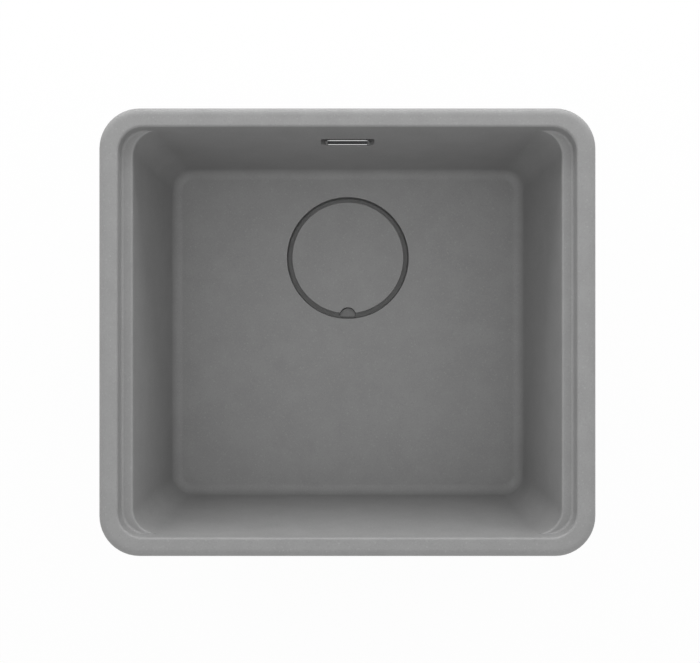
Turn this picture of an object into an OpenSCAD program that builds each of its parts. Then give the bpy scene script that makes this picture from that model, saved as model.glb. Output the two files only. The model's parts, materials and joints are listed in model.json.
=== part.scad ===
// Undermount kitchen sink: a cast composite bowl with a matching cover over its waste, a chrome
// overflow in the back wall, a basket waste underneath, and swivel brackets under the rim.
// Millimetres. The origin is the centre of the rim's top face, with X to the right, Y to the
// back wall and Z up.

/* [Rim] */
// Overall length of the rim, left to right
rim_l = 492; // [472:1:560]
// Overall width of the rim, front to back
rim_w = 444; // [432:1:500]
// Width of the rim from its outer edge to the opening
rim_face = 19; // [18.5:0.5:22]
// Thickness of the rim
rim_t = 10; // [8:0.5:12]
// Corner radius of the rim in plan
rim_corner_r = 40; // [34:1:50]
// Rounding of the rim's upper outer edge
rim_round = 5; // [1:0.5:6]
// Rounding of the rim's lower outer edge
rim_under_round = 2; // [0.5:0.5:3]

/* [Bowl] */
// Depth from the rim's top face to the floor
bowl_depth = 200; // [180:5:230]
// Thickness of the walls
wall_t = 8; // [7:0.5:9]
// Thickness of the floor
floor_t = 9; // [7:0.5:12]
// Angle by which the walls lean in, in degrees
draft = 3; // [1.5:0.25:3.5]
// Corner radius of the opening in plan
open_corner_r = 25; // [20:1:35]
// Rounding of the opening's upper edge
open_round = 2; // [0.5:0.25:3]
// Radius between the walls and the floor
floor_fillet = 12; // [6:1:14]

/* [Shelf] */
// Depth of the side shelves below the rim's top face
shelf_drop = 15; // [12:1:20]
// Width of the side shelves
shelf_w = 12; // [8:0.5:16]
// Corner radius of the bowl below the shelves
low_corner_r = 28; // [24:1:36]
// Radius at the foot of the wall above the shelves
shelf_foot = 2.5; // [1:0.5:4]
// Rounding of the shelves' inner edge
shelf_edge = 2; // [0.5:0.5:3]

/* [Waste recess] */
// Distance of the waste behind the middle of the bowl
drain_y = 87.5; // [60:0.5:100]
// Radius of the round recess in the floor
recess_r = 71.7; // [70:0.1:78]
// Depth of the recess below the floor
recess_depth = 16; // [15:0.5:20]
// Thickness of the casting around and under the recess
recess_wall = 9; // [7:0.5:12]
// Rounding of the recess's upper edge
recess_round = 1.2; // [0.5:0.1:2]
// Radius of the hole through the recess
drain_hole_r = 45; // [44.5:0.25:46]
// Depth of the lug's top below the floor
lug_drop = 12.5; // [11:0.5:14]
// How much smaller the lug is all round than the cover's notch above it
lug_gap = 0.5; // [0.5:0.1:1.5]

/* [Cover] */
// Radius of the cover
cover_r = 65.1; // [64:0.1:68]
// Thickness of the cover's plate
cover_t = 8; // [6:0.5:9]
// Rounding of the cover's upper edge
cover_round = 1.2; // [0.5:0.1:2]
// Radius of the thumb notch
notch_r = 9.5; // [9:0.1:12]
// Depth of the thumb notch
notch_depth = 6.8; // [4:0.1:9]
// Radius of each foot
foot_r = 3.8; // [2.5:0.1:3.8]
// Height of the rubber part of each foot
foot_h = 3; // [2:0.25:4]
// Number of feet
foot_count = 4; // [3:1:6]
// Height of the stiffening ribs under the cover
cover_rib_h = 2.5; // [1:0.5:3]

/* [Basket waste] */
// Radius of the strainer flange
flange_r = 56; // [55:0.1:57]
// Thickness of the strainer flange at its edge
flange_t = 2; // [1.5:0.1:2.5]
// Thickness of the seal under the strainer flange
seal_t = 1; // [0.5:0.1:1.5]
// Inner radius of the strainer cup
cup_r = 40; // [39:0.1:40.5]
// Depth of the strainer cup below the recess floor
cup_depth = 34; // [33:0.5:40]
// Sheet thickness of the strainer cup
cup_sheet = 1.2; // [0.8:0.1:1.5]
// Radius of each drain hole in the cup
cup_hole_r = 5; // [3:0.25:6]
// Number of drain holes in the cup
cup_hole_count = 8; // [4:1:8]
// Depth of the basket below the recess floor
basket_depth = 26; // [22:0.5:27]
// Outer radius of the basket below its rim
basket_r = 37.5; // [34:0.25:38]
// Sheet thickness of the basket
basket_sheet = 1; // [0.6:0.1:1.2]
// Radius of the basket's knob
knob_r = 9; // [7:0.5:11]
// Nominal radius of the screw through the waste
screw_r = 3; // [2.5:0.25:3]

/* [Waste body] */
// Thickness of the gasket under the bowl
gasket_t = 3; // [2:0.25:4]
// Outer radius of the waste body's chamber
chamber_r = 48.5; // [47.5:0.25:50]
// Height of the chamber, from its flange to the start of the cone
chamber_h = 30; // [29:0.5:40]
// Height of the cone between the chamber and the outlet
cone_h = 15; // [12:0.5:25]
// Wall thickness of the waste body
body_wall = 3; // [2:0.25:3.5]
// Outer radius of the outlet, over its thread
outlet_r = 23.9; // [20:0.1:26]
// Length of the outlet
outlet_l = 30; // [22:1:45]

/* [Overflow] */
// Depth of the overflow's middle below the rim's top face
overflow_drop = 67.5; // [60:0.5:80]
// Width of the pocket in the back wall
pocket_w = 56; // [54:0.5:62]
// Height of the pocket
pocket_h = 30; // [26:0.5:34]
// Depth of the pocket behind the wall's face, at its middle
pocket_depth = 5; // [3.5:0.25:5.5]
// Width of the chrome frame
frame_w = 46.5; // [45:0.5:50]
// Height of the chrome frame
frame_h = 20.5; // [19.5:0.5:24]
// Thickness of the chrome frame, front to back
frame_t = 4.5; // [3:0.25:4.75]
// Width of the water slot in the frame
slot_w = 42; // [36:0.5:42.5]
// Height of the water slot in the frame
slot_h = 15.5; // [12:0.5:16]
// Wall thickness of the collar behind the frame
collar_wall = 1.2; // [0.8:0.1:1.6]
// Thickness of the gasket behind the wall
overflow_gasket_t = 1.5; // [1:0.25:2]
// Depth of the outlet box, front to back
elbow_depth = 13; // [13:0.5:15]
// Thickness of the outlet box's flange
elbow_flange_t = 3; // [3:0.25:4]
// Wall thickness of the outlet box
elbow_wall = 2; // [1.5:0.25:2.5]

/* [Hose] */
// Radius over the hose's ribs
hose_r = 10; // [9.4:0.1:10.1]
// Depth of the groove between two ribs
rib_depth = 1.2; // [0.6:0.1:1.5]
// Radius of the hose's bore
hose_bore_r = 7.5; // [6:0.1:7.5]
// Distance from one rib to the next
rib_pitch = 4; // [3.5:0.1:5]
// Radius of the hose's bend
hose_bend_r = 55; // [50:1:60]
// Length of the hose's straight run from its bend to the waste body
hose_run = 3; // [2:0.5:8]
// Radius of each hose nut
nut_r = 13; // [12.4:0.1:13.2]
// Height of each hose nut
nut_h = 20; // [16:0.5:24]
// Thickness of each hose washer
hose_washer_t = 3; // [2:0.25:4]

/* [Brackets] */
// Distance of the outer brackets from the rim's front and back edges
bracket_setback = 102; // [96:1:120]
// Depth of the bosses' lower ends below the rim's top face
boss_drop = 30; // [28:1:36]
// Radius of the bosses
boss_r = 8; // [7:0.25:8.5]
// Length of a bracket between its bolt and its outer end's centre
arm_l = 50; // [44:1:52]
// Width of a bracket
arm_w = 16; // [14:0.5:16]
// Sheet thickness of a bracket
arm_t = 3; // [2:0.25:4]
// Width of the slot for the worktop stud
stud_slot_w = 6.5; // [5.5:0.25:8.5]
// Length of the slot, end to end
stud_slot_l = 24; // [14:1:26]
// Depth of the stiffening lip
lip_h = 6; // [3:0.5:10]
// Nominal radius of the bracket bolts
bolt_r = 3; // [2.5:0.25:3]
// Radius of the brass inserts
insert_r = 4.25; // [3.75:0.25:4.5]
// Length of the brass inserts
insert_l = 12; // [8:0.5:14]

/* [Hidden] */
$fn = 96;

// Segments in a small rounding and in a large one
round_n = 4;
fillet_n = 6;
// Set-in of the shelf edge's rounding from the walls that it meets
mouth_set_in = 0.02;
// How far a cut runs past the face that it opens
over = 1;
// Gap between a moving piece and its seat
seat_gap = 0.25;
// Radial clearance of a screw in its thread, and of a pin in its hole
thread_gap = 0.05;
pin_gap = 0.3;

// Heights of the bowl
z_shelf = -shelf_drop;
z_floor = -bowl_depth;
z_under = z_floor - floor_t;
z_recess = z_floor - recess_depth;
z_boss = z_recess - recess_wall;
z_seat = z_recess - flange_t - seal_t;

// Half sizes of the opening, and of the bowl at the shelves
open_hx = rim_l / 2 - rim_face;
open_hy = rim_w / 2 - rim_face;
low_hx = open_hx - shelf_w;
low_hy = open_hy - lean(z_shelf);

// Places of the cover's notch and ribs
notch_out = cover_r + notch_r - notch_depth;
cover_rib_in = 16;
cover_rib_out = 47;
cover_rib_t = 2.5;

// Radii and heights of the waste
seat_r = flange_r + 1;
cone_r = drain_hole_r - 1.4;
cone_drop = 6;
z_cup = z_recess - cup_depth;
z_cup_under = z_cup - cup_sheet;
z_basket = z_recess - basket_depth;
z_basket_rim = z_recess - 0.8;
basket_rim_t = 1;
basket_rim_r = cone_at(z_basket_rim - basket_rim_t) - 0.5;
basket_foot_r = basket_r - 4.5;
basket_straight = 8;
basket_slot_w = 3;
basket_hole_r = 2.5;
knob_stem_r = 2.5;
z_knob = z_recess;
clip_t = 1.2;
head_h = 3.5;
head_r = 6;
z_body = z_boss - gasket_t;
body_flange_r = chamber_r + 5;
body_flange_t = 4;
z_chamber = z_body - chamber_h;
z_cone = z_chamber - cone_h;
z_outlet = z_cone - outlet_l;
hub_r = 8;
z_hub = z_cup_under - 0.5;
hub_h = 16;
hub_wall = 2;
spoke_t = 4;
spoke_h = 7;
waste_insert_r = 4.75;
// Gap that keeps the cross a piece of its own inside the waste body
moulding_gap = 0.1;

// Planes of the overflow, front to back
overflow_z = -overflow_drop;
wall_y = open_hy - lean(overflow_z);
pocket_y = wall_y + pocket_depth;
pad_y = wall_y + wall_t + 4;
elbow_y = pad_y + overflow_gasket_t;
box_y = elbow_y + elbow_flange_t;
box_back_y = box_y + elbow_depth;
pocket_round = 7;
frame_round = 4;
frame_bevel = 1;
collar_gap = 0.25;
window_w = slot_w + 2 * (collar_wall + collar_gap);
window_h = slot_h + 2 * (collar_wall + collar_gap);
collar_l = pad_y - pocket_y;
pad_w = 90;
pad_h = 46;
pad_round = 10;
elbow_w = 86;
elbow_h = 36;
elbow_round = 8;
box_w = 50;
box_h = 28;
box_round = 8;
ear_x = 36;
tail_r = 8;
tail_bore_r = 6.2;
tail_l = 22;
tail_y = elbow_y + tail_r;
z_tail = overflow_z - box_h / 2 - tail_l;
screw_l = 11;
small_screw_r = 2;
small_head_r = 3.8;
small_head_h = 2.2;

// The overflow inlet of the waste body, and the hose between the two tails
inlet_z = z_chamber + tail_r + 1.5;
inlet_y = tail_y - hose_bend_r - hose_run - hose_washer_t;
inlet_l = inlet_y - drain_y - chamber_r;
nut_grip = 12;
hose_top_z = z_tail - hose_washer_t;
hose_end_y = inlet_y + hose_washer_t;
hose_drop = hose_top_z - inlet_z - hose_bend_r;
hose_l = hose_drop + hose_bend_r * PI / 2 + hose_run;
hose_sides = 8;
rib_count = floor(hose_l / rib_pitch);
bore_rings = 30;

// Places of the brackets
bracket_x = open_hx + wall_t + 1;
bracket_gap = rim_w / 2 - bracket_setback;
z_bracket = -boss_drop - seat_gap;
z_washer = z_bracket - arm_t - seat_gap;
washer_t = 1.5;
bolt_head_h = 4;
bolt_head_r = 5.8;
lip_t = 2;

// A length rounded to a thousandth, so that pieces that meet do so at the same points
function snap(v) = round(v * 1000) / 1000;

// How far a wall has come in at height z
function lean(z) = snap(-z * tan(draft));

// Radius of the strainer's cone at height z
function cone_at(z) = cup_r + (z - z_recess + cone_drop) * (cone_r - cup_r) / cone_drop;

// Points along an arc, from angle a0 to angle a1
function arc(c, r, a0, a1, n) =
    [for (i = [0:n]) let (a = a0 + (a1 - a0) * i / n)
        [snap(c[0] + r * cos(a)), snap(c[1] + r * sin(a))]];

// Half outline of a cup whose wall has radius r at height z_ref
function cup_outline(r, z_ref, z_top, z_bot, fillet, n) =
    let (z_c = z_bot + fillet, r_c = r - lean(z_c) + lean(z_ref) - fillet / cos(draft))
    concat([[0, z_bot]],
        arc([r_c, z_c], fillet, -90, -draft, n),
        [[r - lean(z_top) + lean(z_ref), z_top], [0, z_top]]);

// The same outline, opened out at its upper edge by a rounding
function flared_outline(r, z_ref, z_top, z_bot, fillet, n, flare, rise) =
    let (z_c = z_bot + fillet, r_c = r - lean(z_c) + lean(z_ref) - fillet / cos(draft),
        r_e = r - lean(z_top - flare) + lean(z_ref) + flare)
    concat([[0, z_bot]],
        arc([r_c, z_c], fillet, -90, -draft, n),
        arc([r_e, z_top - flare], flare, 180, 90, round_n),
        [[r_e, z_top + rise], [0, z_top + rise]]);

// Half outline of the rounding alone, set in a little from the wall so that the two cross cleanly
function mouth_outline(r, z, flare, rise) =
    let (r_e = r - lean(z - flare) + lean(z) + flare - mouth_set_in)
    concat([[0, z - flare]],
        arc([r_e, z - flare], flare, 180, 90, round_n),
        [[r_e, z + rise], [0, z + rise]]);

// A half outline closed across the middle, with its corner centres at distance c
function both_sides(outline, c) =
    concat([for (i = [1:len(outline) - 2]) [outline[i][0] + c, outline[i][1]]],
        [for (i = [len(outline) - 2:-1:1]) [-outline[i][0] - c, outline[i][1]]]);

// Corner points of a rectangle with rounded corners
function round_rect(w, h, r, n) =
    concat(arc([w / 2 - r, h / 2 - r], r, 0, 90, n), arc([r - w / 2, h / 2 - r], r, 90, 180, n),
        arc([r - w / 2, r - h / 2], r, 180, 270, n), arc([w / 2 - r, r - h / 2], r, 270, 360, n));

// A rectangular tub with round corners: one outline turned at the corners and run along the sides
module tub(hx, hy, r, outline) {
    cx = hx - r;
    cy = hy - r;
    rotate([90, 0, 0])
        linear_extrude(2 * cy, center = true)
            polygon(both_sides(outline, cx));
    rotate([90, 0, 90])
        linear_extrude(2 * cx, center = true)
            polygon(both_sides(outline, cy));
    for (q = [0:3])
        translate([q == 0 || q == 3 ? cx : -cx, q < 2 ? cy : -cy, 0])
            rotate([0, 0, 90 * q])
                rotate_extrude(angle = 90)
                    polygon(outline);
}

module ring(r_out, r_in, z, h) {
    translate([0, 0, z])
        difference() {
            cylinder(h = h, r = r_out);
            translate([0, 0, -over])
                cylinder(h = h + 2 * over, r = r_in);
        }
}

// A plate seen from the front, standing at y and running back by t
module upright(y, t) {
    translate([0, y + t, overflow_z])
        rotate([90, 0, 0])
            linear_extrude(t)
                children();
}

module at_drain() {
    translate([0, drain_y, 0])
        children();
}

module at_brackets() {
    for (side = [-1, 1], row = [-1:1])
        translate([side * bracket_x, row * bracket_gap, 0])
            children();
}

// The bowl

module rim_solid() {
    tub(rim_l / 2, rim_w / 2, rim_corner_r,
        concat([[0, -rim_t]],
            arc([rim_corner_r - rim_under_round, rim_under_round - rim_t],
                rim_under_round, -90, 0, round_n),
            arc([rim_corner_r - rim_round, -rim_round], rim_round, 0, 90, fillet_n),
            [[0, 0]]));
}

module shell_solid() {
    tub(open_hx + wall_t, open_hy + wall_t, open_corner_r + wall_t,
        cup_outline(open_corner_r + wall_t, 0, -rim_t / 2, z_shelf - wall_t, shelf_foot, round_n));
    tub(low_hx + wall_t, low_hy + wall_t, low_corner_r + wall_t,
        cup_outline(low_corner_r + wall_t, z_shelf, z_shelf, z_under,
            floor_fillet + wall_t, fillet_n));
}

module bowl_space() {
    tub(open_hx, open_hy, open_corner_r,
        flared_outline(open_corner_r, 0, 0, z_shelf, shelf_foot, round_n, open_round, over));
    tub(low_hx, low_hy, low_corner_r,
        cup_outline(low_corner_r, z_shelf, z_shelf + over, z_floor, floor_fillet, fillet_n));
    intersection() {
        tub(low_hx, low_hy, low_corner_r,
            mouth_outline(low_corner_r, z_shelf, shelf_edge, over / 2));
        tub(open_hx, open_hy - mouth_set_in, open_corner_r,
            cup_outline(open_corner_r, 0, z_shelf + over, z_shelf - 3 * shelf_edge,
                shelf_edge / 2, round_n));
    }
}

module waste_recess() {
    rotate_extrude()
        polygon(concat([[0, z_recess], [recess_r, z_recess]],
            arc([recess_r + recess_round, z_floor - recess_round], recess_round, 180, 90, round_n),
            [[recess_r + recess_round, z_floor + over], [0, z_floor + over]]));
    translate([0, 0, z_seat])
        cylinder(h = -z_seat + z_recess + over, r = seat_r);
    translate([0, 0, z_boss - over])
        cylinder(h = z_seat - z_boss + 2 * over, r = drain_hole_r);
}

// Low lug in the front of the recess, which shows where the cover's notch goes
module notch_lug() {
    translate([0, -notch_out, z_recess - over])
        cylinder(h = recess_depth - lug_drop + over, r = notch_r - lug_gap);
}

module overflow_boss() {
    upright(wall_y + wall_t / 2, pad_y - wall_y - wall_t / 2)
        polygon(round_rect(pad_w, pad_h, pad_round, fillet_n));
}

module overflow_cuts() {
    upright(wall_y - 5, pocket_depth + 5)
        polygon(concat(arc([pocket_w / 2 - pocket_round, pocket_round - pocket_h / 2],
                pocket_round, -90, 0, fillet_n),
            [[pocket_w / 2, pocket_h / 2], [-pocket_w / 2, pocket_h / 2]],
            arc([pocket_round - pocket_w / 2, pocket_round - pocket_h / 2],
                pocket_round, 180, 270, fillet_n)));
    upright(pocket_y - over, pad_y - pocket_y + 2 * over)
        square([window_w, window_h], center = true);
    for (x = [-ear_x, ear_x])
        translate([x, pad_y + over, overflow_z])
            rotate([90, 0, 0])
                cylinder(h = screw_l - elbow_flange_t - overflow_gasket_t + 1 + over,
                    r = small_screw_r + thread_gap, $fn = 32);
}

module bowl() {
    color("gray")
    difference() {
        union() {
            difference() {
                union() {
                    rim_solid();
                    shell_solid();
                    at_drain()
                        translate([0, 0, z_boss])
                            cylinder(h = z_under - z_boss + floor_t / 2,
                                r = recess_r + recess_wall);
                    overflow_boss();
                    at_brackets()
                        translate([0, 0, -boss_drop])
                            cylinder(h = boss_drop - rim_t / 2, r = boss_r);
                }
                bowl_space();
                at_drain()
                    waste_recess();
            }
            at_drain()
                notch_lug();
        }
        overflow_cuts();
        at_brackets()
            translate([0, 0, -boss_drop - over])
                cylinder(h = insert_l + over, r = insert_r);
    }
}

// The cover

module at_feet() {
    for (i = [0:foot_count - 1])
        rotate([0, 0, 360 / foot_count * (i + 0.5)])
            translate([cover_r - foot_r - 0.3, 0, 0])
                children();
}

module drain_cover() {
    z_plate = z_floor - cover_t;
    z_post = z_recess + seat_gap + foot_h;
    color("dimgray")
    at_drain()
        difference() {
            union() {
                rotate_extrude()
                    polygon(concat([[0, z_plate], [cover_r, z_plate]],
                        arc([cover_r - cover_round, z_floor - cover_round], cover_round,
                            0, 90, round_n),
                        [[0, z_floor]]));
                for (r = [cover_rib_in, cover_rib_out])
                    ring(r, r - cover_rib_t, z_plate - cover_rib_h, cover_rib_h + over);
                for (a = [45:90:315])
                    rotate([0, 0, a])
                        translate([cover_rib_in - cover_rib_t / 2, -cover_rib_t / 2,
                                z_plate - cover_rib_h])
                            cube([cover_rib_out - cover_rib_in, cover_rib_t,
                                cover_rib_h + over]);
                at_feet()
                    translate([0, 0, z_post])
                        cylinder(h = z_plate - z_post + over, r = foot_r - 0.6, $fn = 32);
            }
            translate([0, -notch_out, z_plate - over])
                cylinder(h = cover_t + 2 * over, r = notch_r);
        }
}

module cover_feet() {
    color("black")
    at_drain()
        at_feet()
            rotate_extrude($fn = 32)
                polygon([[0, z_recess + seat_gap], [foot_r - 0.6, z_recess + seat_gap],
                    [foot_r, z_recess + seat_gap + 0.6], [foot_r, z_recess + seat_gap + foot_h],
                    [0, z_recess + seat_gap + foot_h]]);
}

// The basket waste

module strainer_flange() {
    z_edge = z_recess - flange_t;
    color("silver")
    at_drain()
        difference() {
            rotate_extrude()
                polygon(concat(
                    [[screw_r + pin_gap, z_cup_under]],
                    arc([cup_r - 3, z_cup + 3], 3 + cup_sheet, -90, 0, round_n),
                    [[cup_r + cup_sheet, z_recess - cone_drop - 0.5], [cone_r + 0.9, z_edge],
                        [flange_r, z_edge], [flange_r, z_edge + flange_t / 2],
                        [flange_r - 1.5, z_recess], [cone_r, z_recess],
                        [cup_r, z_recess - cone_drop]],
                    arc([cup_r - 3, z_cup + 3], 3, 0, -90, round_n),
                    [[screw_r + pin_gap, z_cup]]));
            for (i = [0:cup_hole_count - 1])
                rotate([0, 0, 360 / cup_hole_count * i])
                    translate([(cup_r + head_r) / 2, 0, z_cup_under - over])
                        cylinder(h = cup_sheet + 2 * over, r = cup_hole_r, $fn = 32);
        }
}

module flange_seal() {
    color("black")
    at_drain()
        ring(flange_r, drain_hole_r + 1, z_seat, seal_t);
}

module strainer_basket() {
    z_wall = z_basket_rim - basket_rim_t - basket_straight;
    slot_count = 16;
    color("lightgray")
    at_drain()
        difference() {
            rotate_extrude()
                polygon([[knob_stem_r + thread_gap, z_basket], [basket_foot_r, z_basket],
                    [basket_r, z_wall], [basket_r, z_basket_rim - basket_rim_t],
                    [basket_rim_r, z_basket_rim - basket_rim_t], [basket_rim_r, z_basket_rim],
                    [basket_r - basket_sheet, z_basket_rim],
                    [basket_r - basket_sheet, z_wall],
                    [basket_foot_r - basket_sheet, z_basket + basket_sheet],
                    [knob_stem_r + thread_gap, z_basket + basket_sheet]]);
            for (i = [0:slot_count - 1])
                rotate([0, 0, 360 / slot_count * i])
                    translate([basket_foot_r - 5, -basket_slot_w / 2, z_basket + 3])
                        cube([10, basket_slot_w, z_wall - z_basket - 4]);
            for (i = [0:7])
                rotate([0, 0, 45 * i])
                    translate([basket_foot_r * 0.38, 0, z_basket - over])
                        cylinder(h = basket_sheet + 2 * over, r = basket_hole_r, $fn = 24);
            for (i = [0:15])
                rotate([0, 0, 22.5 * i])
                    translate([basket_foot_r * 0.72, 0, z_basket - over])
                        cylinder(h = basket_sheet + 2 * over, r = basket_hole_r, $fn = 24);
        }
}

module basket_seal() {
    z_top = z_basket_rim - basket_rim_t;
    z_low = z_recess - cone_drop + 0.5;
    color("black")
    at_drain()
        rotate_extrude()
            polygon([[basket_r, z_low], [cone_at(z_low) - 0.3, z_low],
                [cone_at(z_top) - 0.3, z_top], [basket_r, z_top]]);
}

module basket_knob() {
    color("silver")
    at_drain()
        rotate_extrude()
            polygon(concat([[0, z_basket - 3], [knob_stem_r, z_basket - 3],
                    [knob_stem_r, z_basket + basket_sheet],
                    [knob_stem_r + 2, z_basket + basket_sheet],
                    [knob_stem_r + 2, z_basket + basket_sheet + 3],
                    [knob_stem_r + 1, z_knob - 6]],
                arc([knob_r - 1.5, z_knob - 2.5], 1.5, -90, 60, fillet_n),
                [[0, z_knob]]));
}

module knob_clip() {
    color("gray")
    at_drain()
        ring(knob_stem_r + 3.5, knob_stem_r + thread_gap, z_basket - clip_t, clip_t);
}

module centre_screw() {
    screw_end = z_hub - hub_h + 1;
    color("silver")
    at_drain() {
        difference() {
            translate([0, 0, z_cup])
                cylinder(h = head_h, r1 = head_r, r2 = head_r - 0.8);
            translate([-head_r, -0.6, z_cup + head_h - 1])
                cube([2 * head_r, 1.2, 2]);
        }
        translate([0, 0, screw_end])
            cylinder(h = z_cup - screw_end + 0.5, r = screw_r);
    }
}

module waste_insert() {
    color("gold")
    at_drain()
        ring(waste_insert_r, screw_r + thread_gap, z_hub - hub_h + hub_wall, hub_h - 2 * hub_wall);
}

module waste_gasket() {
    color("black")
    at_drain()
        ring(body_flange_r - 0.5, drain_hole_r + 0.5, z_body, gasket_t);
}

// The space inside the waste body, grown by g
module waste_space(g) {
    rotate_extrude()
        polygon([[0, z_cone - over], [outlet_r - body_wall + g, z_cone - over],
            [outlet_r - body_wall + g, z_cone],
            [chamber_r - body_wall + g, z_chamber + body_wall / 2],
            [chamber_r - body_wall + g, z_body + over], [0, z_body + over]]);
}

module waste_body() {
    color("dimgray")
    at_drain()
        difference() {
            union() {
                rotate_extrude()
                    polygon([[0, z_cone], [outlet_r, z_cone],
                        [chamber_r, z_chamber], [chamber_r, z_body - body_flange_t],
                        [body_flange_r, z_body - body_flange_t], [body_flange_r, z_body],
                        [0, z_body]]);
                translate([0, chamber_r - body_wall, inlet_z])
                    rotate([-90, 0, 0])
                        cylinder(h = inlet_l + body_wall, r = tail_r);
            }
            waste_space(0);
            translate([0, chamber_r - 2 * body_wall, inlet_z])
                rotate([-90, 0, 0])
                    cylinder(h = inlet_l + 3 * body_wall, r = tail_bore_r);
        }
}

// Moulded in one with the waste body, and kept apart so that the space between stays open
module waste_cross() {
    z_spoke = z_hub - hub_h + hub_wall;
    color("dimgray")
    at_drain()
        difference() {
            intersection() {
                union() {
                    translate([0, 0, z_hub - hub_h])
                        cylinder(h = hub_h, r = hub_r);
                    for (a = [0:90:270])
                        rotate([0, 0, a + 45])
                            translate([0, -spoke_t / 2, z_spoke])
                                cube([chamber_r, spoke_t, spoke_h]);
                }
                waste_space(-moulding_gap);
            }
            translate([0, 0, z_spoke])
                cylinder(h = hub_h - 2 * hub_wall, r = waste_insert_r);
            translate([0, 0, z_hub - hub_h - over])
                cylinder(h = hub_h + 2 * over, r = screw_r + pin_gap);
        }
}

module waste_tail() {
    color("dimgray")
    at_drain()
        ring(outlet_r, outlet_r - body_wall, z_outlet, outlet_l);
}

// The overflow

module overflow_frame() {
    color("lightgray") {
        difference() {
            hull() {
                upright(pocket_y - frame_t + frame_bevel, frame_t - frame_bevel)
                    polygon(round_rect(frame_w, frame_h, frame_round, fillet_n));
                upright(pocket_y - frame_t, frame_bevel)
                    polygon(round_rect(frame_w - 2 * frame_bevel, frame_h - 2 * frame_bevel,
                        frame_round - frame_bevel, fillet_n));
            }
            upright(pocket_y - frame_t - over, frame_t + 2 * over)
                square([slot_w, slot_h], center = true);
        }
        upright(pocket_y - 0.5, collar_l + 0.5)
            difference() {
                square([slot_w + 2 * collar_wall, slot_h + 2 * collar_wall], center = true);
                square([slot_w, slot_h], center = true);
            }
    }
}

module overflow_gasket() {
    color("black")
    difference() {
        upright(pad_y, overflow_gasket_t)
            difference() {
                polygon(round_rect(elbow_w, elbow_h, elbow_round, fillet_n));
                square([window_w, window_h], center = true);
            }
        for (x = [-ear_x, ear_x])
            translate([x, elbow_y + over, overflow_z])
                rotate([90, 0, 0])
                    cylinder(h = overflow_gasket_t + 2 * over, r = small_screw_r + pin_gap, $fn = 32);
    }
}

// Side view of the outlet box, drawn in by g on every side
function box_outline(g) =
    concat([[box_y - over + g, -box_h / 2 + g], [box_back_y - g, -box_h / 2 + g]],
        arc([box_back_y - box_round, box_h / 2 - box_round], box_round - g, 0, 90, fillet_n),
        [[box_y - over + g, box_h / 2 - g]]);

module box_block(g, front) {
    translate([0, 0, overflow_z])
        rotate([90, 0, 90])
            linear_extrude(box_w - 2 * g, center = true)
                polygon(box_outline(g));
    translate([g - box_w / 2, front, overflow_z - box_h / 2 + g])
        cube([box_w - 2 * g, box_y - front + g, box_h - 2 * g]);
}

module overflow_elbow() {
    color("dimgray")
    difference() {
        union() {
            upright(elbow_y, elbow_flange_t)
                polygon(round_rect(elbow_w, elbow_h, elbow_round, fillet_n));
            box_block(0, box_y - over);
            translate([0, tail_y, z_tail])
                cylinder(h = tail_l + over, r = tail_r);
        }
        box_block(elbow_wall, elbow_y - over);
        translate([0, tail_y, z_tail - over])
            cylinder(h = tail_l + elbow_wall + 2 * over, r = tail_bore_r);
        for (x = [-ear_x, ear_x])
            translate([x, box_y + over, overflow_z])
                rotate([90, 0, 0])
                    cylinder(h = elbow_flange_t + 2 * over, r = small_screw_r + pin_gap, $fn = 32);
    }
}

module overflow_screws() {
    color("silver")
    for (x = [-ear_x, ear_x])
        translate([x, box_y, overflow_z])
            rotate([90, 0, 0]) {
                cylinder(h = screw_l, r = small_screw_r, $fn = 32);
                difference() {
                    translate([0, 0, -small_head_h])
                        cylinder(h = small_head_h, r1 = small_head_r - 0.6, r2 = small_head_r,
                            $fn = 32);
                    translate([-small_head_r - over, -0.5, -small_head_h - over])
                        cube([2 * small_head_r + 2 * over, 1, small_head_h / 2 + over]);
                }
            }
}

// The hose

// Point on the hose's middle line at distance s from its upper end, and its tilt from straight
// down there
function hose_point(s) =
    let (a = (s - hose_drop) / hose_bend_r * 180 / PI)
    s < hose_drop ? [0, tail_y, hose_top_z - s]
    : a < 90 ? [0, tail_y - hose_bend_r + hose_bend_r * cos(a),
        inlet_z + hose_bend_r - hose_bend_r * sin(a)]
    : [0, tail_y - hose_bend_r - (s - hose_drop - hose_bend_r * PI / 2), inlet_z];
function hose_tilt(s) = max(0, min(90, (s - hose_drop) / hose_bend_r * 180 / PI));

// Points of a ring square to the middle line at distance s
function hose_ring(s, r) =
    let (p = hose_point(s), t = hose_tilt(s))
    [for (i = [0:hose_sides - 1])
        let (a = 360 / hose_sides * i)
        p + r * [cos(a), sin(a) * cos(t), -sin(a) * sin(t)]];

// The outer skin, two rings to a rib, then the bore back up
hose_rings = concat(
    [for (i = [0:rib_count - 1], k = [0:1])
        let (step = (hose_l - rib_pitch) / (rib_count - 1))
        hose_ring(i == 0 && k == 0 ? 0 : i == rib_count - 1 && k == 1 ? hose_l
            : step * i + rib_pitch * (k == 0 ? 0.25 : 0.75),
            k == 0 ? hose_r : hose_r - (i == rib_count - 1 ? 0 : rib_depth))],
    [for (i = [bore_rings:-1:0]) hose_ring(hose_l / bore_rings * i, hose_bore_r)]);

function loop_faces(n, m) =
    [for (i = [0:n - 1], j = [0:m - 1], k = [0:1])
        let (a = i * m + j, b = i * m + (j + 1) % m,
            c = ((i + 1) % n) * m + j, d = ((i + 1) % n) * m + (j + 1) % m)
        k == 0 ? [a, b, d] : [a, d, c]];

module overflow_hose() {
    rings = len(hose_rings);
    color("whitesmoke")
        polyhedron([for (r = hose_rings) each r], loop_faces(rings, hose_sides));
}

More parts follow.
